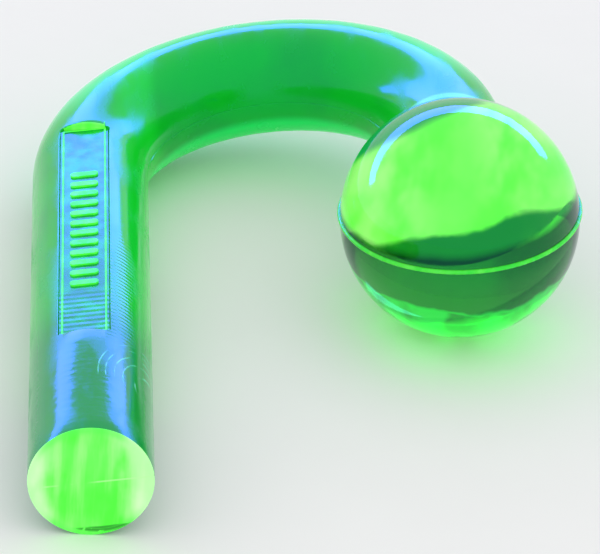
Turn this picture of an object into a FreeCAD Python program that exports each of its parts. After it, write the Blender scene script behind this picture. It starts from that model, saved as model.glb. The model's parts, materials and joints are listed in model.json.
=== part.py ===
"""Ball-ended crook in clear, live-edge green plastic.

A round shank runs into a half-turn bend, and a short nose brings the bend back into a ball.
The rod is two half-round mouldings bonded on the plane of the crook. The ball is two bonded
parts with a ring between them, whose rim shows as a raised seam a little above the ball's middle.
The rod's end sits in a socket in the ball, and a fillet of bond closes the corner. A plate with a rim and a row
of plain raised marks lies in a flat-bottomed pocket on top of the shank.

The crook is first modelled flat, with its plane at z = 0, the shank's axis along Y and the bend
starting at y = 0. It is then rolled about the shank's axis until shank and ball lie on one floor,
and moved so that the middle of its box's underside is the origin. Sizes are millimetres.
"""

import FreeCAD
import Part

import math
import os

from FreeCAD import Placement, Rotation, Vector

# Rod
rod_diameter = 21.0
shank_length = 99.0        # end face to the start of the bend, on the axis
bend_radius = 33.0         # of the bend's centreline
end_face_bevel = 0.35      # breaks the edge of the shank's end face
parting_bevel = 0.12       # round each half's flat face, so the bond line is a fine groove

# Ball
ball_diameter = 42.7
ball_setback = 26.0        # end of the bend to the ball's centre
socket_floor = 10.0        # ball's centre to the floor of the rod's socket
socket_clearance = 0.05    # radial, filled with bond
seam_height = 1.5          # of the two halves' meeting plane, above the ball's centre
seam_turn = 4.0            # degrees that this plane is turned about the rod, its free side down
seam_ring_thickness = 0.8
seam_ring_depth = 2.4      # how far the ring reaches into the ball
seam_ring_proud = 0.45     # how far its rounded rim stands out of the ball
neck_bead_reach = 1.5      # the fillet of bond round the rod, along the rod and over the ball
ring_to_bead_gap = 0.3     # the ring stops short of that fillet

# Plate on the shank
pocket_length = 71.0
pocket_overrun = 3.5       # how far the pocket runs on past the start of the bend
pocket_width = 8.8
pocket_depth = 2.2         # below the crown of the rod
plate_clearance = 0.1      # round the plate, in its pocket
plate_thickness = 0.9
plate_corner_radius = 0.6
plate_rim_width = 0.35
plate_rim_height = 0.16
plate_rim_inset = 0.35

# Raised marks, in a row down the middle of the plate
mark_count = 12
mark_pitch = 3.4
mark_length = 5.0          # across the shank
mark_width = 1.5           # along the shank
mark_height = 0.35

# Worked out from the sizes above
rod_radius = rod_diameter / 2
ball_radius = ball_diameter / 2
ring_rim_radius = seam_ring_thickness / 2
seam_radius = math.sqrt(ball_radius**2 - seam_height**2)
rim_centre_radius = seam_radius + seam_ring_proud - ring_rim_radius
ball_centre = Vector(2 * bend_radius, -ball_setback, 0)
socket_floor_y = ball_centre.y + socket_floor
pocket_start_y = pocket_overrun - pocket_length
pocket_floor = rod_radius - pocket_depth
rest_roll = math.asin((ball_radius - rod_radius) / (2 * bend_radius))

Y_AXIS = Vector(0, 1, 0)
Z_AXIS = Vector(0, 0, 1)
FAR = 1000.0               # side of the blocks that stand for a half space


def half_space(above):
    """A block that holds everything above the plane z = 0, or everything below it."""
    low = 0 if above else -FAR
    return Part.makeBox(2 * FAR, 2 * FAR, FAR, Vector(-FAR, -FAR, low))


def rod_bar():
    """The whole rod, from the shank's end face to the end that sits in the ball's socket.

    The shank is a plain stretch and the stretch with the pocket, so that each has a wall of its own.
    """
    plain_length = shank_length + pocket_start_y
    plain = Part.makeCylinder(rod_radius, plain_length, Vector(0, -shank_length, 0), Y_AXIS)
    end_circle = [e for e in plain.Edges if is_circle_at(e, -shank_length)]
    plain = plain.makeChamfer(end_face_bevel, end_circle)
    pocketed = Part.makeCylinder(rod_radius, -pocket_start_y, Vector(0, pocket_start_y, 0), Y_AXIS)
    bend = Part.makeTorus(bend_radius, rod_radius, Vector(bend_radius, 0, 0), Z_AXIS, 0, 360, 180)
    nose = Part.makeCylinder(
        rod_radius, -socket_floor_y, Vector(2 * bend_radius, socket_floor_y, 0), Y_AXIS
    )
    return plain.fuse([pocketed, bend, nose])


def is_circle_at(edge, y):
    """True for a circle whose plane is square to the shank at that y."""
    return isinstance(edge.Curve, Part.Circle) and abs(edge.Curve.Center.y - y) < 1e-6


def plate_block(width, length, low, high):
    """A flat block over the shank, centred on the pocket, between two heights above the axis."""
    start_y = pocket_start_y + (pocket_length - length) / 2
    return Part.makeBox(width, length, high - low, Vector(-width / 2, start_y, low))


def round_corners(block, radius):
    """The block with its four upright edges rounded."""
    upright = [e for e in block.Edges if abs(e.tangentAt(e.FirstParameter).z) > 0.99]
    return block.makeFillet(radius, upright)


def pocket():
    block = plate_block(pocket_width, pocket_length, pocket_floor, rod_radius + pocket_depth)
    return round_corners(block, plate_corner_radius + plate_clearance)


def rod_half(above):
    """One moulding of the rod, with the edges of its flat face lightly broken."""
    half = rod_bar().common(half_space(above))
    flat_edges = [e for e in half.Edges if lies_in_parting_plane(e)]
    half = half.makeChamfer(parting_bevel, flat_edges)
    return half.cut(pocket()) if above else half


def lies_in_parting_plane(edge):
    return max(abs(edge.BoundBox.ZMin), abs(edge.BoundBox.ZMax)) < 1e-4


def rod_socket():
    start = Vector(ball_centre.x, socket_floor_y, 0)
    return Part.makeCylinder(rod_radius + socket_clearance, ball_diameter, start, Y_AXIS)


def neck_bead():
    """A hollow-faced fillet of bond in the corner between the rod and the ball."""
    foot = rod_radius + neck_bead_reach
    corner = Vector(rod_radius, ball_surface_y(rod_radius), 0)
    on_ball = Vector(foot, ball_surface_y(foot), 0)
    on_rod = Vector(rod_radius, corner.y + neck_bead_reach, 0)
    ball_middle = (rod_radius + foot) / 2
    fillet_middle = (on_ball + on_rod) * 0.35 + corner * 0.3
    outline = Part.Wire([
        Part.Arc(corner, Vector(ball_middle, ball_surface_y(ball_middle), 0), on_ball).toShape(),
        Part.Arc(on_ball, fillet_middle, on_rod).toShape(),
        Part.LineSegment(on_rod, corner).toShape(),
    ])
    bead = Part.Face(outline).revolve(Vector(0, 0, 0), Y_AXIS, 360)
    bead.translate(ball_centre)
    return bead


def ball_surface_y(radius):
    """How far along the rod from the ball's centre its surface is, at a radius from the rod's axis."""
    return math.sqrt(ball_radius**2 - radius**2)


def seam_place():
    """Puts a shape made about z = 0 on the ball's seam plane."""
    turn = Rotation(Y_AXIS, seam_turn)
    return Placement(ball_centre + turn.multVec(Z_AXIS * seam_height), turn)


def seam_ring():
    """A flat ring with a half-round rim, open where the rod and its fillet pass."""
    inner = seam_radius - seam_ring_depth
    half = ring_rim_radius
    start = Vector(inner, 0, -half)
    lower = Vector(rim_centre_radius, 0, -half)
    outermost = Vector(rim_centre_radius + half, 0, 0)
    upper = Vector(rim_centre_radius, 0, half)
    end = Vector(inner, 0, half)
    outline = Part.Wire([
        Part.LineSegment(start, lower).toShape(),
        Part.Arc(lower, outermost, upper).toShape(),
        Part.LineSegment(upper, end).toShape(),
        Part.LineSegment(end, start).toShape(),
    ])
    ring = Part.Face(outline).revolve(Vector(0, 0, 0), Z_AXIS, 360)
    ring.Placement = seam_place()
    gap_radius = rod_radius + neck_bead_reach + ring_to_bead_gap
    return ring.cut(Part.makeCylinder(gap_radius, ball_diameter, ball_centre, Y_AXIS))


def ball_half(above):
    """One half of the ball, with its share of the rod's socket and of the ring's rebate."""
    ball = Part.makeSphere(ball_radius, ball_centre)
    side = half_space(above)
    side.Placement = seam_place().multiply(side.Placement)
    return ball.common(side).cut(rod_socket()).cut(seam_ring())


def name_plate():
    """A flat plate with a raised rim and a row of plain raised marks."""
    width = pocket_width - 2 * plate_clearance
    length = pocket_length - 2 * plate_clearance
    top = pocket_floor + plate_thickness
    plate = round_corners(plate_block(width, length, pocket_floor, top), plate_corner_radius)

    rim_top = top + plate_rim_height
    outer_inset = plate_rim_inset
    rim_outer = plate_block(width - 2 * outer_inset, length - 2 * outer_inset, top, rim_top)
    inner_inset = plate_rim_inset + plate_rim_width
    rim_inner = plate_block(width - 2 * inner_inset, length - 2 * inner_inset, top, rim_top)
    plate = plate.fuse(rim_outer.cut(rim_inner))
    return plate.fuse([raised_mark(n, top) for n in range(mark_count)]).removeSplitter()


def raised_mark(n, base):
    """A bar with round ends that lies across the shank, n-th in its row."""
    y = pocket_start_y + pocket_length / 2 + (n - (mark_count - 1) / 2) * mark_pitch
    end_radius = mark_width / 2
    straight = mark_length / 2 - end_radius
    middle = Part.makeBox(
        2 * straight, mark_width, mark_height, Vector(-straight, y - end_radius, base)
    )
    ends = [
        Part.makeCylinder(end_radius, mark_height, Vector(side * straight, y, base))
        for side in (-1, 1)
    ]
    return middle.fuse(ends).removeSplitter()


def rest_place():
    """Rolls the flat crook onto its floor and puts the origin under the middle of its box."""
    ring_roll = rest_roll - math.radians(seam_turn)
    ring_middle = -seam_height * math.sin(ring_roll)
    ring_reach = ring_middle + rim_centre_radius * math.cos(ring_roll) + ring_rim_radius
    low_x = -rod_radius
    high_x = ball_centre.x * math.cos(rest_roll) + max(ball_radius, ring_reach)
    low_y = -shank_length
    high_y = bend_radius + rod_radius
    middle = Vector(-(low_x + high_x) / 2, -(low_y + high_y) / 2, rod_radius)
    return Placement(middle, Rotation(Y_AXIS, -math.degrees(rest_roll)))


def build():
    nodes = {
        "crook_upper_half": rod_half(True),
        "crook_lower_half": rod_half(False),
        "ball_upper_half": ball_half(True),
        "ball_lower_half": ball_half(False),
        "ball_seam_ring": seam_ring(),
        "neck_bead": neck_bead(),
        "name_plate": name_plate(),
    }
    os.makedirs("parts", exist_ok=True)
    place = rest_place()
    for name, shape in nodes.items():
        placed = shape.copy()
        placed.Placement = place.multiply(shape.Placement)
        placed.exportStep(f"parts/{name}.step")
        box = placed.BoundBox
        print(f"{name}: {len(placed.Solids)} solid, valid {placed.isValid()},"
              f" {placed.Volume / 1000:.2f} cm3, z {box.ZMin:.2f} to {box.ZMax:.2f}")
    print(f"rest roll {math.degrees(rest_roll):.2f} degrees, moved by {tuple(place.Base)}")


build()
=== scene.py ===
"""Looks of the ball-ended crook: clear, live-edge green plastic with a painted glow, on a pale
floor in soft light.

Lengths are metres. The crook is laid out flat first, as in the CAD: its plane at z = 0, the
shank's axis along y and the bend starting at y = 0. stand_matrix then puts it in its place.
"""

import json
import math

import bmesh
import bpy
from mathutils import Matrix, Vector


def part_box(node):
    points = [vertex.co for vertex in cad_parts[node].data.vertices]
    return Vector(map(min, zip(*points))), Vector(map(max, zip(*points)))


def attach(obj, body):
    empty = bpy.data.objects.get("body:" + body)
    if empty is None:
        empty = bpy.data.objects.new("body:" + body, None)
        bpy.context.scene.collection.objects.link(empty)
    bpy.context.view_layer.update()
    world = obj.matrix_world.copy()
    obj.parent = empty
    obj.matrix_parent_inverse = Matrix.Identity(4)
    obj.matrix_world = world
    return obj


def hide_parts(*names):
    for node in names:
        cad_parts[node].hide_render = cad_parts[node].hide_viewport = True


MM = 0.001
QUARTER = math.pi / 2

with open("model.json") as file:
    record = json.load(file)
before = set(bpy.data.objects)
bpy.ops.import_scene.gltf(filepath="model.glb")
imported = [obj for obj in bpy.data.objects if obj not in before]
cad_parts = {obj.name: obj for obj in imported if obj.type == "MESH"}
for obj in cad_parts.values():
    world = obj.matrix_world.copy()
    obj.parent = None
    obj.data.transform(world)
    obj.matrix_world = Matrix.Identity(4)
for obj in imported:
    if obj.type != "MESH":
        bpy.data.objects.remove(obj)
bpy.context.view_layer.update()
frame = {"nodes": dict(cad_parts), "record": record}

# ---------------------------------------------------------------- sizes, from the frame
mounts = {m["name"]: m for m in frame["record"]["mounts"]}
shank_mount = mounts["shank"]
rod_radius = shank_mount["dims"]["r_mm"] * MM
shank_axis = Vector(shank_mount["pos_m"])
ball_centre = Vector(mounts["ball_end"]["pos_m"])
ball_radius = ball_centre.z
across = ball_centre - shank_axis
bend_radius = math.hypot(across.x, across.z) / 2
rest_roll = math.atan2(across.z, across.x)
bend_y = shank_axis.y + shank_mount["dims"]["length_mm"] * MM / 2
shank_length = bend_y - mounts["end_face"]["pos_m"][1]
plate_low, plate_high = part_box("name_plate")

# ---------------------------------------------------------------- sizes of the finer shapes
EDGE_ROUND = 0.35 * MM          # rim of the end face
FACE_INSET = 0.05 * MM          # a loop just inside that rim keeps the face flat
PARTING_BEVEL = 0.12 * MM
POCKET_HALF_WIDTH = 4.4 * MM
POCKET_FLOOR = 8.3 * MM         # above the rod's axis
POCKET_CORNER = 0.7 * MM
POCKET_LIP = 0.3 * MM           # rounding of the pocket's upper edge
PLATE_GAP = 0.1 * MM
PLATE_TOP = POCKET_FLOOR + 0.9 * MM
PLATE_EDGE = 0.05 * MM          # rounding of the plate's edges
MARK_REACH = 2.8 * MM           # half the width of the strip that holds the marks
MARKS_MIDDLE = -32 * MM         # of the row of marks, along the shank
MARKS_HALF_ROW = 25 * MM
SOCKET_FLOOR = 10.0 * MM        # ball's centre to the end of the rod inside it
SEAM_HEIGHT = 1.5 * MM          # of the seam's plane above the ball's centre
SEAM_TURN = math.radians(4)     # of that plane about the rod's axis
SEAM_PROUD = 0.45 * MM
SEAM_HALF_WIDTH = 0.4 * MM
NECK_REACH = 1.5 * MM
NECK_ROOT = 0.2 * MM            # how far the fillet reaches into the rod
NECK_FOOT = 0.5 * MM            # and into the ball

# Steps of the meshes. Across the rod: each side, each lip of the pocket, the crown or floor.
SIDE_STEPS = 30
LIP_STEPS = 4
CROWN_STEPS = 14
CROWN_PINCH = 0.02              # of the crown's width, at each lip step where there is no pocket
# Along the rod: the end's rounding, up to the pocket, a corner of it, the rest of it, and onward.
EDGE_STEPS = 4
PLAIN_STEPS = 8
CORNER_STEPS = 5
POCKET_STEPS = 40
ONWARD_STEPS = 110
# Of the ball, the seam's rim and the fillet: rings or profile, and steps round.
BALL_RINGS, BALL_STEPS = 110, 220
BALL_CROWDING = 0.11            # draws the rings together at the poles and the middle
SEAM_RINGS, SEAM_STEPS = 24, 240
NECK_RINGS, NECK_STEPS = 12, 180

# ---------------------------------------------------------------- camera and light
CAMERA_AZIMUTH = math.radians(4.6)
CAMERA_ELEVATION = math.radians(30.88)
CAMERA_ROLL = math.radians(4.61)
CAMERA_DISTANCE = 842.5 * MM
CAMERA_LENS = 284.7             # millimetres, on a sensor 36 wide
CAMERA_SENSOR = 36
CAMERA_CLIP = 10 * MM
CAMERA_TARGET = Vector((37.2, -30.64, 0)) * MM   # from the shank's axis at the start of the bend

FLOOR_HALF_SIDE = 3.0
STRIP_LENGTH = 1.5
STRIP_HEIGHT = 0.115
STRIP_PLACE = Vector((-0.21, 0.42, 0.193))
STRIP_FACING = Vector((0, -0.40, -0.193))
STRIP_ROLL = math.radians(-3)
STRIP_RADIANCE = 16.0
STRIP_COLOUR = (0.09, 0.11, 1.0)

ball_flat = Vector((2 * bend_radius, ball_centre.y - bend_y, 0))
stand_matrix = (
    Matrix.Translation((shank_axis.x, bend_y, rod_radius)) @ Matrix.Rotation(-rest_roll, 4, "Y")
)


# ---------------------------------------------------------------- mesh helpers
def new_piece(name, bm, materials, sharp_angle=35):
    """Turns a bmesh laid out flat into a standing, smooth piece that rides on the root body."""
    bmesh.ops.recalc_face_normals(bm, faces=bm.faces)
    bm.transform(stand_matrix)
    mesh = bpy.data.meshes.new(name)
    bm.to_mesh(mesh)
    bm.free()
    for polygon in mesh.polygons:
        polygon.use_smooth = True
    mesh.set_sharp_from_angle(angle=math.radians(sharp_angle))
    for material in materials:
        mesh.materials.append(material)
    piece = bpy.data.objects.new(name, mesh)
    bpy.context.scene.collection.objects.link(piece)
    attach(piece, "root")
    return piece


def loft(bm, rings):
    """Joins closed rings of equal length one after another and caps both ends."""
    made = [[bm.verts.new(p) for p in ring] for ring in rings]
    count = len(made[0])
    for a, b in zip(made[:-1], made[1:]):
        for i in range(count):
            j = (i + 1) % count
            bm.faces.new((a[i], a[j], b[j], b[i]))
    bm.faces.new(made[0][::-1])
    bm.faces.new(made[-1])


def revolve(bm, profile, centre, axis, start, steps):
    """Turns a profile of (radius, height) about an axis; a closed profile makes a ring."""
    side = axis.cross(start)
    closed = profile[0] == profile[-1]
    points = profile[:-1] if closed else profile
    columns = []
    poles = {}
    for n in range(steps):
        angle = 2 * math.pi * n / steps
        out = math.cos(angle) * start + math.sin(angle) * side
        column = []
        for k, (radius, height) in enumerate(points):
            if radius < 1e-9:
                if k not in poles:
                    poles[k] = bm.verts.new(centre + height * axis)
                column.append(poles[k])
            else:
                column.append(bm.verts.new(centre + radius * out + height * axis))
        columns.append(column)
    pairs = len(points) if closed else len(points) - 1
    for n in range(steps):
        a, b = columns[n], columns[(n + 1) % steps]
        for k in range(pairs):
            m = (k + 1) % len(points)
            corners = [a[k], b[k], b[m], a[m]]
            bm.faces.new([v for i, v in enumerate(corners) if v not in corners[:i]])


# ---------------------------------------------------------------- the rod
def rod_path(s):
    """Flat point and sideways direction of the rod's centreline, s along it from the end face."""
    bend_end = shank_length + math.pi * bend_radius
    if s <= shank_length:
        return Vector((0, s - shank_length, 0)), Vector((1, 0, 0))
    if s >= bend_end:
        return Vector((2 * bend_radius, bend_end - s, 0)), Vector((-1, 0, 0))
    turn = (s - shank_length) / bend_radius
    outward = Vector((-math.cos(turn), math.sin(turn), 0))
    return Vector((bend_radius, 0, 0)) + bend_radius * outward, -outward


def pocket_half_width(from_end):
    """Half the pocket's width at a distance from its end, with its rounded corners."""
    if from_end >= POCKET_CORNER:
        return POCKET_HALF_WIDTH
    back = POCKET_CORNER - from_end
    return POCKET_HALF_WIDTH - POCKET_CORNER + math.sqrt(POCKET_CORNER**2 - back**2)


def half_section(radius, half_width, floor=None, drop=0.0):
    """Points (sideways, up) round a half rod: right side, crown or pocket, left side, flat.

    floor is the pocket's floor, or None where there is no pocket. drop lowers the crown next to
    the pocket's end walls, which rounds their upper edge.
    """
    low = math.asin(PARTING_BEVEL / radius)
    lip = half_width + (POCKET_LIP if floor is not None else 0.0)
    high = math.acos(lip / radius)
    right = []
    for k in range(SIDE_STEPS + 1):
        angle = low + (high - low) * k / SIDE_STEPS
        right.append((radius * math.cos(angle), radius * math.sin(angle)))
    top = radius * math.sin(high)
    for k in range(1, LIP_STEPS + 1):
        turn = QUARTER * k / LIP_STEPS
        if floor is None:
            u = half_width * (1 - CROWN_PINCH * k)
            right.append((u, math.sqrt(radius**2 - u**2) - drop))
        else:
            right.append((
                half_width + POCKET_LIP * (1 - math.sin(turn)),
                top - POCKET_LIP * (1 - math.cos(turn)),
            ))
    inner = half_width * (1 - CROWN_PINCH * LIP_STEPS) if floor is None else half_width
    crown = []
    for k in range(CROWN_STEPS + 1):
        u = inner * (1 - 2 * k / CROWN_STEPS)
        v = math.sqrt(radius**2 - u**2) - drop if floor is None else floor
        crown.append((u, v))
    if floor is None:
        crown = crown[1:-1]
    left = [(-u, v) for u, v in reversed(right)]
    flat = [(-(radius - PARTING_BEVEL), 0.0), (radius - PARTING_BEVEL, 0.0)]
    return right + crown + left + flat


def rod_stations():
    """(s, radius, half width, floor, drop) of each cross-section of the upper half."""
    inner_end = shank_length + math.pi * bend_radius - ball_flat.y - SOCKET_FLOOR
    pocket_start = shank_length + (plate_low.y - PLATE_GAP - bend_y)
    pocket_end = shank_length + (plate_high.y + PLATE_GAP - bend_y)

    def plain(s, radius=rod_radius, drop=0.0):
        return s, radius, POCKET_HALF_WIDTH - POCKET_CORNER, None, drop

    stations = [plain(0.0, rod_radius - EDGE_ROUND - FACE_INSET)]
    for k in range(EDGE_STEPS + 1):
        turn = QUARTER * k / EDGE_STEPS
        s = EDGE_ROUND * (1 - math.cos(turn))
        stations.append(plain(s, rod_radius - EDGE_ROUND * (1 - math.sin(turn))))
    stations += [plain(pocket_start * k / PLAIN_STEPS) for k in range(1, PLAIN_STEPS)]

    lip = []
    for k in range(LIP_STEPS + 1):
        turn = QUARTER * k / LIP_STEPS
        lip.append((POCKET_LIP * (1 - math.sin(turn)), POCKET_LIP * (1 - math.cos(turn))))
    corner = []
    for k in range(CORNER_STEPS + 1):
        corner.append(POCKET_CORNER * (1 - math.cos(QUARTER * k / CORNER_STEPS)))
    straight = pocket_end - pocket_start - 2 * POCKET_CORNER
    inside = [pocket_start + d for d in corner]
    for k in range(1, POCKET_STEPS):
        inside.append(pocket_start + POCKET_CORNER + straight * k / POCKET_STEPS)
    inside += [pocket_end - d for d in reversed(corner)]

    stations += [plain(pocket_start - away, drop=drop) for away, drop in lip]
    for s in inside:
        width = pocket_half_width(min(s - pocket_start, pocket_end - s))
        stations.append((s, rod_radius, width, POCKET_FLOOR, 0.0))
    stations += [plain(pocket_end + away, drop=drop) for away, drop in reversed(lip)]
    start = pocket_end + POCKET_LIP
    for k in range(1, ONWARD_STEPS + 1):
        stations.append(plain(start + (inner_end - start) * k / ONWARD_STEPS))
    return stations


def on_pocket_wall(middle):
    """True for a face of the pocket's far end wall."""
    wall_y = plate_high.y + PLATE_GAP - bend_y
    return (
        abs(middle.y - wall_y) < POCKET_LIP + 0.1 * MM
        and abs(middle.x) < POCKET_HALF_WIDTH - 0.6 * MM
        and middle.z > POCKET_FLOOR + 0.1 * MM
    )


def rod_half(name, above, materials):
    """One half of the rod. materials are for its outside, its cut faces, and inside the ball."""
    up = Vector((0, 0, 1 if above else -1))
    rings = []
    for s, radius, width, floor, drop in rod_stations():
        point, side = rod_path(s)
        section = half_section(radius, width, floor, drop) if above else half_section(radius, width)
        rings.append([point + u * side + v * up for u, v in section])
    bm = bmesh.new()
    loft(bm, rings)
    bmesh.ops.remove_doubles(bm, verts=bm.verts, dist=1e-7)
    for face in bm.faces:
        middle = face.calc_center_median()
        if middle.y < -shank_length + EDGE_ROUND or on_pocket_wall(middle):
            face.material_index = 1
        elif (middle - ball_flat).length < ball_radius - 0.2 * MM:
            face.material_index = 2
    return new_piece(name, bm, materials)


# ---------------------------------------------------------------- the ball
def ball_body(material):
    """The ball as one clear solid, because a bond face inside it would show as a mirror."""
    profile = []
    for k in range(BALL_RINGS + 1):
        angle = math.pi * k / BALL_RINGS
        angle -= BALL_CROWDING * math.sin(4 * angle)
        profile.append((ball_radius * math.sin(angle), ball_radius * math.cos(angle)))
    profile[0] = (0.0, ball_radius)
    profile[-1] = (0.0, -ball_radius)
    bm = bmesh.new()
    revolve(bm, profile, ball_flat, Vector((0, 0, 1)), Vector((1, 0, 0)), BALL_STEPS)
    return new_piece("ball_body", bm, [material], sharp_angle=80)


def seam_ring(material):
    """The ring between the ball's halves: its rounded rim stands out of the ball."""
    rim_centre = math.sqrt(ball_radius**2 - SEAM_HEIGHT**2) + SEAM_PROUD - SEAM_HALF_WIDTH
    turn = Matrix.Rotation(SEAM_TURN, 3, "Y")
    axis = turn @ Vector((0, 0, 1))
    profile = []
    for k in range(SEAM_RINGS):
        angle = 2 * math.pi * k / SEAM_RINGS
        profile.append((
            rim_centre + SEAM_HALF_WIDTH * math.cos(angle), SEAM_HALF_WIDTH * math.sin(angle)
        ))
    profile.append(profile[0])
    bm = bmesh.new()
    centre = ball_flat + SEAM_HEIGHT * axis
    revolve(bm, profile, centre, axis, turn @ Vector((1, 0, 0)), SEAM_STEPS)
    return new_piece("ball_seam_rim", bm, [material])


def neck_fillet(material):
    """The fillet of bond in the corner between the rod and the ball."""
    def on_ball(radius):
        return math.sqrt(ball_radius**2 - radius**2)

    inner = rod_radius - NECK_ROOT
    outer = rod_radius + NECK_REACH
    start = (rod_radius, on_ball(rod_radius) + NECK_REACH)
    end = (outer, on_ball(outer))
    bend = (rod_radius + 0.45 * NECK_REACH, on_ball(rod_radius) + 0.35 * NECK_REACH)
    profile = [(inner, start[1])]
    for k in range(NECK_RINGS + 1):
        t = k / NECK_RINGS
        a, b, c = (1 - t)**2, 2 * t * (1 - t), t**2
        profile.append(tuple(a * start[i] + b * bend[i] + c * end[i] for i in range(2)))
    profile.append((outer - NECK_ROOT / 2, end[1] - NECK_FOOT))
    profile.append((inner, on_ball(rod_radius) - NECK_FOOT))
    profile.append(profile[0])
    bm = bmesh.new()
    revolve(bm, profile, ball_flat, Vector((0, 1, 0)), Vector((1, 0, 0)), NECK_STEPS)
    return new_piece("neck_fillet", bm, [material], sharp_angle=50)


# ---------------------------------------------------------------- the plate
def plate_skin(materials):
    """The plate as in the CAD, with every edge slightly rounded.

    materials are for the plate, its marks and its frame line.
    """
    bm = bmesh.new()
    bm.from_mesh(frame["nodes"]["name_plate"].data)
    bm.transform(stand_matrix.inverted())
    bmesh.ops.remove_doubles(bm, verts=bm.verts, dist=1e-6)
    bmesh.ops.dissolve_limit(bm, angle_limit=math.radians(2), verts=bm.verts, edges=bm.edges)
    sharp = [e for e in bm.edges if len(e.link_faces) == 2 and e.calc_face_angle() > 0.6]
    bmesh.ops.bevel(
        bm, geom=sharp, offset=PLATE_EDGE, segments=2, affect="EDGES", profile=0.5,
        clamp_overlap=True,
    )
    for face in bm.faces:
        middle = face.calc_center_median()
        if middle.z > PLATE_TOP + 0.02 * MM:
            along = abs(middle.y - MARKS_MIDDLE)
            on_mark = abs(middle.x) < MARK_REACH and along < MARKS_HALF_ROW
            face.material_index = 1 if on_mark else 2
    piece = new_piece("plate_skin", bm, materials, sharp_angle=30)
    for polygon in piece.data.polygons:
        if polygon.area > (0.5 * MM)**2:
            polygon.use_smooth = False
    return piece


# ---------------------------------------------------------------- material helpers
class Nodes:
    """Short calls for building one material's node tree.

    Values are node outputs or plain numbers. A mask is a value from 0 to 1.
    """

    def __init__(self, name):
        self.material = bpy.data.materials.new(name)
        self.material.use_nodes = True
        self.tree = self.material.node_tree
        self.shader = self.tree.nodes["Principled BSDF"]
        self.position = self.add("ShaderNodeNewGeometry").outputs["Position"]

    def add(self, kind, **settings):
        node = self.tree.nodes.new(kind)
        for key, value in settings.items():
            setattr(node, key, value)
        return node

    def feed(self, socket, value):
        """Links a value that is an output, or sets one that is a number or a colour."""
        if isinstance(value, bpy.types.NodeSocket):
            self.tree.links.new(value, socket)
        else:
            socket.default_value = value

    def sets(self, **values):
        """Values of the shader's own sockets: Specular_Tint is its Specular Tint."""
        for key, value in values.items():
            self.feed(self.shader.inputs[key.replace("_", " ")], value)

    def math(self, operation, a, b=0.0, c=0.0):
        node = self.add("ShaderNodeMath", operation=operation)
        for socket, value in zip(node.inputs, (a, b, c)):
            self.feed(socket, value)
        return node.outputs[0]

    def sum(self, first, *others):
        for other in others:
            first = self.math("ADD", first, other)
        return first

    def product(self, first, *others):
        for other in others:
            first = self.math("MULTIPLY", first, other)
        return first

    def less(self, a, b):
        return self.math("SUBTRACT", a, b)

    def distance(self, x, y, centre=(0.0, 0.0)):
        """Of a point from another, in a plane."""
        x, y = self.less(x, centre[0]), self.less(y, centre[1])
        return self.math("SQRT", self.sum(self.product(x, x), self.product(y, y)))

    def noise(self, scale, detail=3.0, stretch=(1, 1, 1), shift=(0, 0, 0)):
        """Noise over the row frame, 0 to 1, with features about 1 / scale across."""
        placed = self.add("ShaderNodeMapping")
        self.feed(placed.inputs["Scale"], stretch)
        self.feed(placed.inputs["Location"], shift)
        self.feed(placed.inputs["Vector"], self.position)
        node = self.add("ShaderNodeTexNoise")
        self.feed(node.inputs["Scale"], scale)
        self.feed(node.inputs["Detail"], detail)
        self.feed(node.inputs["Vector"], placed.outputs[0])
        return node.outputs["Fac"]

    def sway(self, noise, spread):
        """Noise as a length between minus and plus spread, which is in millimetres."""
        return self.math("MULTIPLY_ADD", noise, 2 * spread * MM, -spread * MM)

    def ramp(self, value, low, high, out_low=0.0, out_high=1.0):
        """Goes smoothly from out_low to out_high as the value goes from low to high."""
        node = self.add("ShaderNodeMapRange", interpolation_type="SMOOTHSTEP")
        for socket, v in zip(node.inputs, (value, low, high, out_low, out_high)):
            self.feed(socket, v)
        return node.outputs[0]

    def zone(self, length, low, high):
        """Mask that goes from 0 at low to 1 at high, in millimetres."""
        return self.ramp(length, low * MM, high * MM)

    def band(self, length, start, full, still_full, end):
        """Mask that is 1 between the two middle places and 0 beyond the outer ones."""
        return self.product(self.zone(length, start, full), self.zone(length, end, still_full))

    def mix(self, fac, a, b):
        node = self.add("ShaderNodeMix", data_type="RGBA")
        for socket, value in zip((node.inputs[0], node.inputs[6], node.inputs[7]), (fac, a, b)):
            self.feed(socket, value)
        return node.outputs[2]

    def paint(self, base, mask, share, over):
        """Lays a share of a colour over the base where the mask is 1."""
        return self.mix(self.product(mask, share), base, over)

    def flat_axes(self):
        """The surface point in the flat crook's frame, as separate x, y and z in metres."""
        turned = self.add("ShaderNodeMapping", vector_type="POINT")
        self.feed(turned.inputs["Rotation"], (0, rest_roll, 0))
        self.feed(turned.inputs["Location"], stand_matrix.inverted().to_translation())
        self.feed(turned.inputs["Vector"], self.position)
        parts = self.add("ShaderNodeSeparateXYZ")
        self.feed(parts.inputs[0], turned.outputs[0])
        return parts.outputs

    def relief(self, *layers):
        """Bumps one over another, each a height, its depth in millimetres, and its strength."""
        normal = None
        for height, depth, strength in layers:
            node = self.add("ShaderNodeBump")
            self.feed(node.inputs["Strength"], strength)
            self.feed(node.inputs["Distance"], depth * MM)
            self.feed(node.inputs["Height"], height)
            if normal is not None:
                self.feed(node.inputs["Normal"], normal)
            normal = node.outputs[0]
        self.sets(Normal=normal)

    def arcs(self, x, y, centre, radii, width):
        """Mask of thin arcs round a point. Centre, radii and width are in millimetres."""
        away = self.distance(x, y, [c * MM for c in centre])
        total = 0.0
        for radius in radii:
            off = self.math("ABSOLUTE", self.less(away, radius * MM))
            total = self.math("MAXIMUM", total, self.zone(off, width, 0))
        return total


def colour(r, g, b):
    return (r, g, b, 1.0)


BLACK = colour(0, 0, 0)
DEEP = colour(0.0030, 0.43, 0.016)
DARK = colour(0.005, 0.25, 0.035)
LIME = colour(0.14, 0.98, 0.07)
PALE = colour(0.58, 1.0, 0.45)
BLUE_SHEEN = colour(0.15, 0.35, 1.0)


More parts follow.
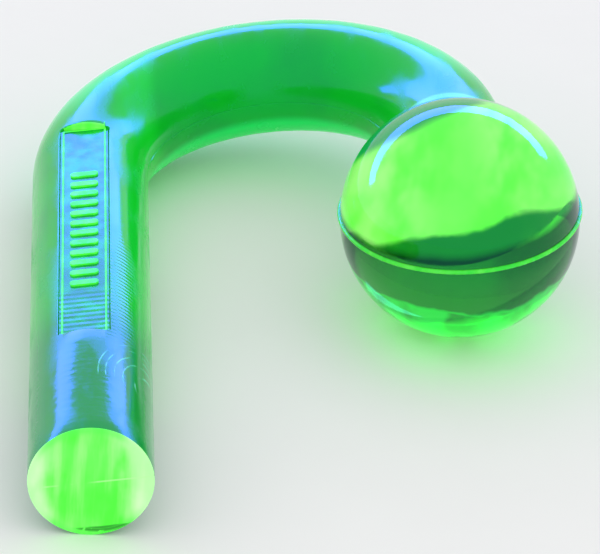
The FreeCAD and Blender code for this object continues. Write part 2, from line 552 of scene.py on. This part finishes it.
# ---------------------------------------------------------------- the materials
def rod_plastic():
    """The rod's outside: strong green, smeared and scratched, with painted light, shade and glow.
    """
    n = Nodes("rod_plastic")
    x, y, z = n.flat_axes()
    off_centreline = n.less(n.distance(x, y, (bend_radius, 0.0)), bend_radius)
    past_ball = n.less(y, ball_flat.y)
    on_ball_side = n.zone(x, 50, 54)

    mottle = n.ramp(n.noise(60, 3), 0.4, 0.75)
    base = n.paint(DEEP, mottle, 0.4, DARK)
    streak = n.ramp(n.noise(260, 4, (1, 0.15, 1), (3, 1, 2)), 0.4, 0.7)
    streak = n.product(streak, n.math("MULTIPLY_ADD", n.zone(y, 6, -8), 0.8, 0.2))
    base = n.paint(base, streak, 0.4, colour(0.008, 0.47, 0.014))
    # Painted shade: the shank gets darker towards its cut end.
    shade_near_end = n.zone(y, -52, -70)
    base = n.paint(base, shade_near_end, 0.65, colour(0.006, 0.19, 0.045))
    # Painted light: the right side of the shank is lighter, where light falls on it.
    lit_right_side = n.product(n.band(x, 3, 8, 11, 14), n.zone(y, -75, -45))
    base = n.paint(base, lit_right_side, 0.45, colour(0.008, 0.72, 0.02))
    # Painted highlight: a lighter band along the outside of the bend.
    outer_bend_highlight = n.product(n.zone(off_centreline, -1.5, 3.5), n.zone(y, 4, 20))
    base = n.paint(base, outer_bend_highlight, 0.8, colour(0.02, 0.85, 0.30))
    # Painted reflection of the floor along the lower inner edge of the bend.
    lower_edge_reflection = n.product(n.zone(z, -2.6, -5.2), n.zone(off_centreline, 0, -5))
    base = n.paint(base, lower_edge_reflection, 0.8, colour(0.003, 0.85, 0.13))
    # Painted highlight: a light rim round the rod's nose, next to the ball.
    collar_highlight = n.product(n.band(past_ball, 24.8, 25.4, 26.4, 27.2), on_ball_side)
    base = n.paint(base, collar_highlight, 0.8, colour(0.12, 0.80, 0.65))
    # Painted shade: a dark line where the rod meets the ball, rougher there too.
    shaded_groove = n.product(n.zone(past_ball, 25.3, 24.7), on_ball_side)
    base = n.paint(base, shaded_groove, 0.6, colour(0.004, 0.15, 0.08))
    scratch = n.product(
        n.arcs(x, y, (16.8, -80.7), (8.6, 10.4, 11.8, 13.2, 14.4), 0.17),
        n.zone(y, -83.5, -80.5), n.zone(x, 1, 3), n.zone(z, 1, 3),
        n.ramp(n.noise(240, 3, (1, 1, 1), (9, 9, 2)), 0.42, 0.6),
    )
    base = n.paint(base, scratch, 0.75, colour(0.15, 0.85, 0.60))
    smear = n.ramp(n.noise(230, 4, (1, 0.35, 1), (5, 2, 7)), 0.42, 0.7, 0.12, 0.30)
    # The emission is a painted glow, which evens out the rod's shading.
    n.sets(
        Base_Color=base, Emission_Color=base, Emission_Strength=0.2, IOR=1.6,
        Specular_Tint=BLUE_SHEEN, Roughness=n.math("MULTIPLY_ADD", shaded_groove, 0.4, smear),
    )

    # Fine cross ticks on the right of the shank, near the plate.
    along_y = n.product(y, 2 * math.pi / (1.1 * MM))
    wave = n.math("SINE", n.math("MULTIPLY_ADD", x, 900, along_y))
    ticks = n.product(wave, n.band(x, 3, 5, 8, 9.5), n.band(y, -72, -66, -44, -30), n.zone(z, 2, 5))
    n.relief(
        (n.noise(110, 2, (1, 0.35, 1)), 0.1, 0.3),
        (n.product(n.noise(210, 3, (1, 0.5, 1), (1, 6, 4)), n.zone(y, -68, -80)), 0.2, 0.4),
        (n.noise(1500, 3), 0.004, 0.4),
        (n.product(n.noise(330, 4, (0.5, 1.8, 0.5)), n.zone(y, -60, -70)), 0.05, 0.5),
        (ticks, 0.03, 0.5),
        (scratch, 0.05, 0.6),
    )
    return n.material


def end_plastic():
    """The bright cut end of the shank, with pale saw streaks, painted light at its sides and a chip
    at its lower edge.
    """
    n = Nodes("end_plastic")
    x, y, z = n.flat_axes()
    streak = n.ramp(n.noise(420, 4, (1, 1, 0.12), (2, 4, 1)), 0.38, 0.72)
    base = n.mix(streak, colour(0.08, 0.93, 0.03), colour(0.26, 1.0, 0.16))
    # Painted light: pale clouds, strongest towards the sides of the face.
    side = n.zone(n.math("ABSOLUTE", n.less(x, -0.5 * MM)), 3, 9.5)
    cloud = n.ramp(n.noise(130, 3, (1, 1, 0.7), (7, 1, 3)), 0.4, 0.66)
    base = n.paint(base, cloud, n.math("MULTIPLY_ADD", side, 0.75, 0.1), PALE)
    base = n.paint(base, n.zone(n.distance(x, z), 9.0, 10.2), 0.55, colour(0.09, 0.9, 0.06))
    base = n.paint(base, n.ramp(side, 0.5, 1.0), 0.55, colour(0.66, 1.0, 0.54))
    line = n.zone(n.math("ABSOLUTE", z), 0.22, 0.08)
    line = n.product(line, n.ramp(n.noise(300, 2), 0.35, 0.55))
    base = n.paint(base, line, 0.6, colour(0.42, 1.0, 0.30))
    chip = n.product(
        n.arcs(x, z, (1, 0.8), (9.8, 10.3), 0.7), n.zone(z, -8.4, -9.0),
        n.ramp(n.noise(500, 2), 0.34, 0.44),
    )
    base = n.mix(chip, base, colour(0.03, 0.30, 0.01))
    # The emission is a painted glow.
    n.sets(
        Base_Color=base, Emission_Color=base, Emission_Strength=0.35, Specular_Tint=BLUE_SHEEN,
        Roughness=n.ramp(n.noise(400, 4), 0.3, 0.7, 0.3, 0.5),
    )
    n.relief((n.noise(900, 3, (1, 1, 0.15)), 0.02, 0.4))
    return n.material


def inner_glow():
    """The rod's end inside the ball: it shines over its upper part and is dark below."""
    n = Nodes("inner_glow")
    x, y, z = n.flat_axes()
    aside = n.less(x, ball_flat.x)
    swirl = n.sway(n.noise(150, 2, (1, 1, 1), (1, 3, 2)), 0.8)
    ripple = n.sway(n.noise(700, 2), 0.35)
    step = n.ramp(aside, 1.5 * MM, 6 * MM, 0.0, -1.4 * MM)
    level = n.sum(n.math("MULTIPLY_ADD", aside, -0.03, z), step, swirl, ripple)
    end_y = ball_flat.y + SOCKET_FLOOR
    shine = n.product(
        n.zone(level, -8.0, -7.3), n.ramp(y, end_y + 1.5 * MM, end_y + 0.4 * MM)
    )
    upper = n.zone(n.sum(n.less(z, n.product(aside, 0.55)), swirl), 6.2, 8.2)
    shine = n.product(shine, n.less(1.0, upper))

    lime = n.mix(
        n.noise(260, 3, (1, 1, 0.4), (3, 3, 3)), colour(0.20, 1.0, 0.14), colour(0.46, 1.0, 0.26)
    )
    cloud = n.ramp(n.noise(200, 3, (1, 1, 0.5), (7, 1, 3)), 0.4, 0.62)
    sides = n.ramp(n.math("ABSOLUTE", aside), 1 * MM, 6 * MM, 0.3, 1.0)
    lime = n.paint(lime, cloud, sides, colour(0.95, 1.0, 0.80))
    gloom = n.mix(upper, colour(0.018, 0.25, 0.05), colour(0.015, 0.36, 0.30))
    base = n.mix(shine, gloom, lime)
    n.sets(
        Base_Color=n.mix(0.85, base, BLACK), Emission_Color=base, Emission_Strength=1.0,
        Specular_IOR_Level=0.0, Roughness=n.ramp(n.noise(400, 4), 0.3, 0.7, 0.4, 0.6),
    )
    return n.material


def ball_plastic():
    """The clear ball: painted shade below its middle, with a patchy painted glow at its lowest
    part.
    """
    n = Nodes("ball_plastic")
    x, y, z = n.flat_axes()
    swirl = n.sway(n.noise(70, 3), 3)
    # Painted shade: the glass is dark in a band about and below its middle.
    painted_dark_band = n.product(
        n.zone(n.sum(z, n.product(swirl, 0.3)), 5.5, 3.5), n.zone(n.sum(z, swirl), -12, -9)
    )
    left_of_middle = n.math("MINIMUM", n.less(x, ball_flat.x), 0.0)
    level = n.sum(z, n.sway(n.noise(110, 3, (1, 1, 1), (2, 5, 1)), 2.5))
    level = n.math("MULTIPLY_ADD", left_of_middle, 0.2, level)
    edge = n.band(level, -9.0, -8.2, -7.8, -7.0)
    patch = n.ramp(n.noise(150, 3, (1, 1, 0.6), (6, 2, 8)), 0.38, 0.6, 0.12, 0.75)
    patch = n.math("MAXIMUM", patch, n.product(edge, 0.9))
    n.sets(
        Base_Color=n.mix(painted_dark_band, LIME, colour(0.004, 0.045, 0.005)),
        Emission_Color=n.paint(BLACK, n.zone(level, -7.6, -8.8), patch, colour(0.006, 0.62, 0.045)),
        Emission_Strength=1.0, IOR=1.49, Transmission_Weight=1.0, Specular_IOR_Level=0.25,
        Specular_Tint=BLUE_SHEEN,
        Roughness=n.ramp(n.noise(200, 4, (1, 1, 0.5)), 0.4, 0.75, 0.03, 0.14),
    )
    n.relief((n.noise(90, 2), 0.08, 0.3))
    return n.material


def seam_plastic():
    """The bright rim of the seam."""
    n = Nodes("seam_plastic")
    n.sets(
        Base_Color=n.mix(n.ramp(n.noise(300, 3), 0.35, 0.7), colour(0.05, 0.85, 0.03), LIME),
        Specular_Tint=BLUE_SHEEN, Roughness=n.ramp(n.noise(800, 3), 0.3, 0.7, 0.2, 0.35),
    )
    n.relief((n.noise(700, 2), 0.01, 0.4))
    return n.material


def plate_plastic(name, dark, light, rough):
    """Two greens in patches, with moulded cross lines on the plate's near end."""
    n = Nodes(name)
    x, y, z = n.flat_axes()
    base = n.mix(n.ramp(n.noise(250, 4), 0.35, 0.7), dark, light)
    # The emission is a painted glow.
    n.sets(
        Base_Color=base, Emission_Color=base, Emission_Strength=0.4, IOR=1.6,
        Specular_Tint=BLUE_SHEEN,
        Roughness=n.ramp(n.noise(600, 4), 0.3, 0.7, rough, rough + 0.14),
    )
    lines = n.math("SINE", n.product(y, 2 * math.pi / (1.5 * MM)))
    n.relief(
        (n.noise(500, 3, (0.3, 1, 1)), 0.02, 0.4),
        (n.product(lines, n.zone(y, -52, -57)), 0.02, 0.5),
    )
    return n.material


# ---------------------------------------------------------------- the pieces
rod_materials = [rod_plastic(), end_plastic(), inner_glow()]
upper = rod_half("crook_upper_skin", True, rod_materials)
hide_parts("crook_upper_half")
lower = rod_half("crook_lower_skin", False, rod_materials)
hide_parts("crook_lower_half")

ball = ball_body(ball_plastic())
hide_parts("ball_upper_half", "ball_lower_half")
seam = seam_ring(seam_plastic())
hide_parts("ball_seam_ring")
neck = neck_fillet(plate_plastic("neck_plastic", DARK, colour(0.02, 0.5, 0.12), 0.12))
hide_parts("neck_bead")

plate = plate_skin([
    plate_plastic("plate_plastic", DARK, DEEP, 0.17),
    plate_plastic("mark_plastic", colour(0.05, 0.8, 0.03), colour(0.10, 0.92, 0.05), 0.42),
    plate_plastic("frame_plastic", colour(0.006, 0.30, 0.03), colour(0.02, 0.5, 0.04), 0.2),
])
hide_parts("name_plate")


# ---------------------------------------------------------------- the studio
def studio_camera():
    forward = Vector((
        math.sin(CAMERA_AZIMUTH) * math.cos(CAMERA_ELEVATION),
        math.cos(CAMERA_AZIMUTH) * math.cos(CAMERA_ELEVATION),
        -math.sin(CAMERA_ELEVATION),
    ))
    target = Vector((shank_axis.x, bend_y, rod_radius)) + CAMERA_TARGET
    roll = Matrix.Rotation(CAMERA_ROLL, 3, "Z").to_quaternion()
    camera = bpy.data.objects.new("camera", bpy.data.cameras.new("camera"))
    bpy.context.scene.collection.objects.link(camera)
    camera.data.sensor_width = CAMERA_SENSOR
    camera.data.lens = CAMERA_LENS
    camera.data.clip_start = CAMERA_CLIP
    camera.location = target - forward * CAMERA_DISTANCE
    camera.rotation_mode = "QUATERNION"
    camera.rotation_quaternion = forward.to_track_quat("-Z", "Y") @ roll
    return camera


def pale_floor():
    bm = bmesh.new()
    bmesh.ops.create_grid(bm, x_segments=1, y_segments=1, size=FLOOR_HALF_SIDE)
    mesh = bpy.data.meshes.new("floor")
    bm.to_mesh(mesh)
    bm.free()
    n = Nodes("floor")
    n.sets(
        Base_Color=n.mix(n.noise(30, 3), colour(0.86, 0.86, 0.86), colour(0.90, 0.90, 0.90)),
        Roughness=0.9, Specular_IOR_Level=0.1,
    )
    mesh.materials.append(n.material)
    floor = bpy.data.objects.new("floor", mesh)
    bpy.context.scene.collection.objects.link(floor)
    return floor


def rear_strip():
    """A long, low strip behind the object, which gives the highlights and nothing else."""
    light = bpy.data.lights.new("strip", "AREA")
    light.shape = "RECTANGLE"
    light.size = STRIP_LENGTH
    light.size_y = STRIP_HEIGHT
    light.energy = STRIP_RADIANCE * math.pi * STRIP_LENGTH * STRIP_HEIGHT
    light.color = STRIP_COLOUR
    lamp = bpy.data.objects.new("strip", light)
    bpy.context.scene.collection.objects.link(lamp)
    lamp.location = STRIP_PLACE
    lamp.rotation_mode = "QUATERNION"
    roll = Matrix.Rotation(STRIP_ROLL, 3, "Z").to_quaternion()
    lamp.rotation_quaternion = STRIP_FACING.to_track_quat("-Z", "Y") @ roll
    lamp.visible_diffuse = False


def white_air():
    world = bpy.data.worlds.new("air")
    world.use_nodes = True
    world.node_tree.nodes["Background"].inputs["Color"].default_value = colour(1, 1, 1)
    return world


bpy.context.scene.camera = studio_camera()
pale_floor()
rear_strip()
bpy.context.scene.world = white_air()
bpy.context.scene.view_settings.view_transform = "Standard"
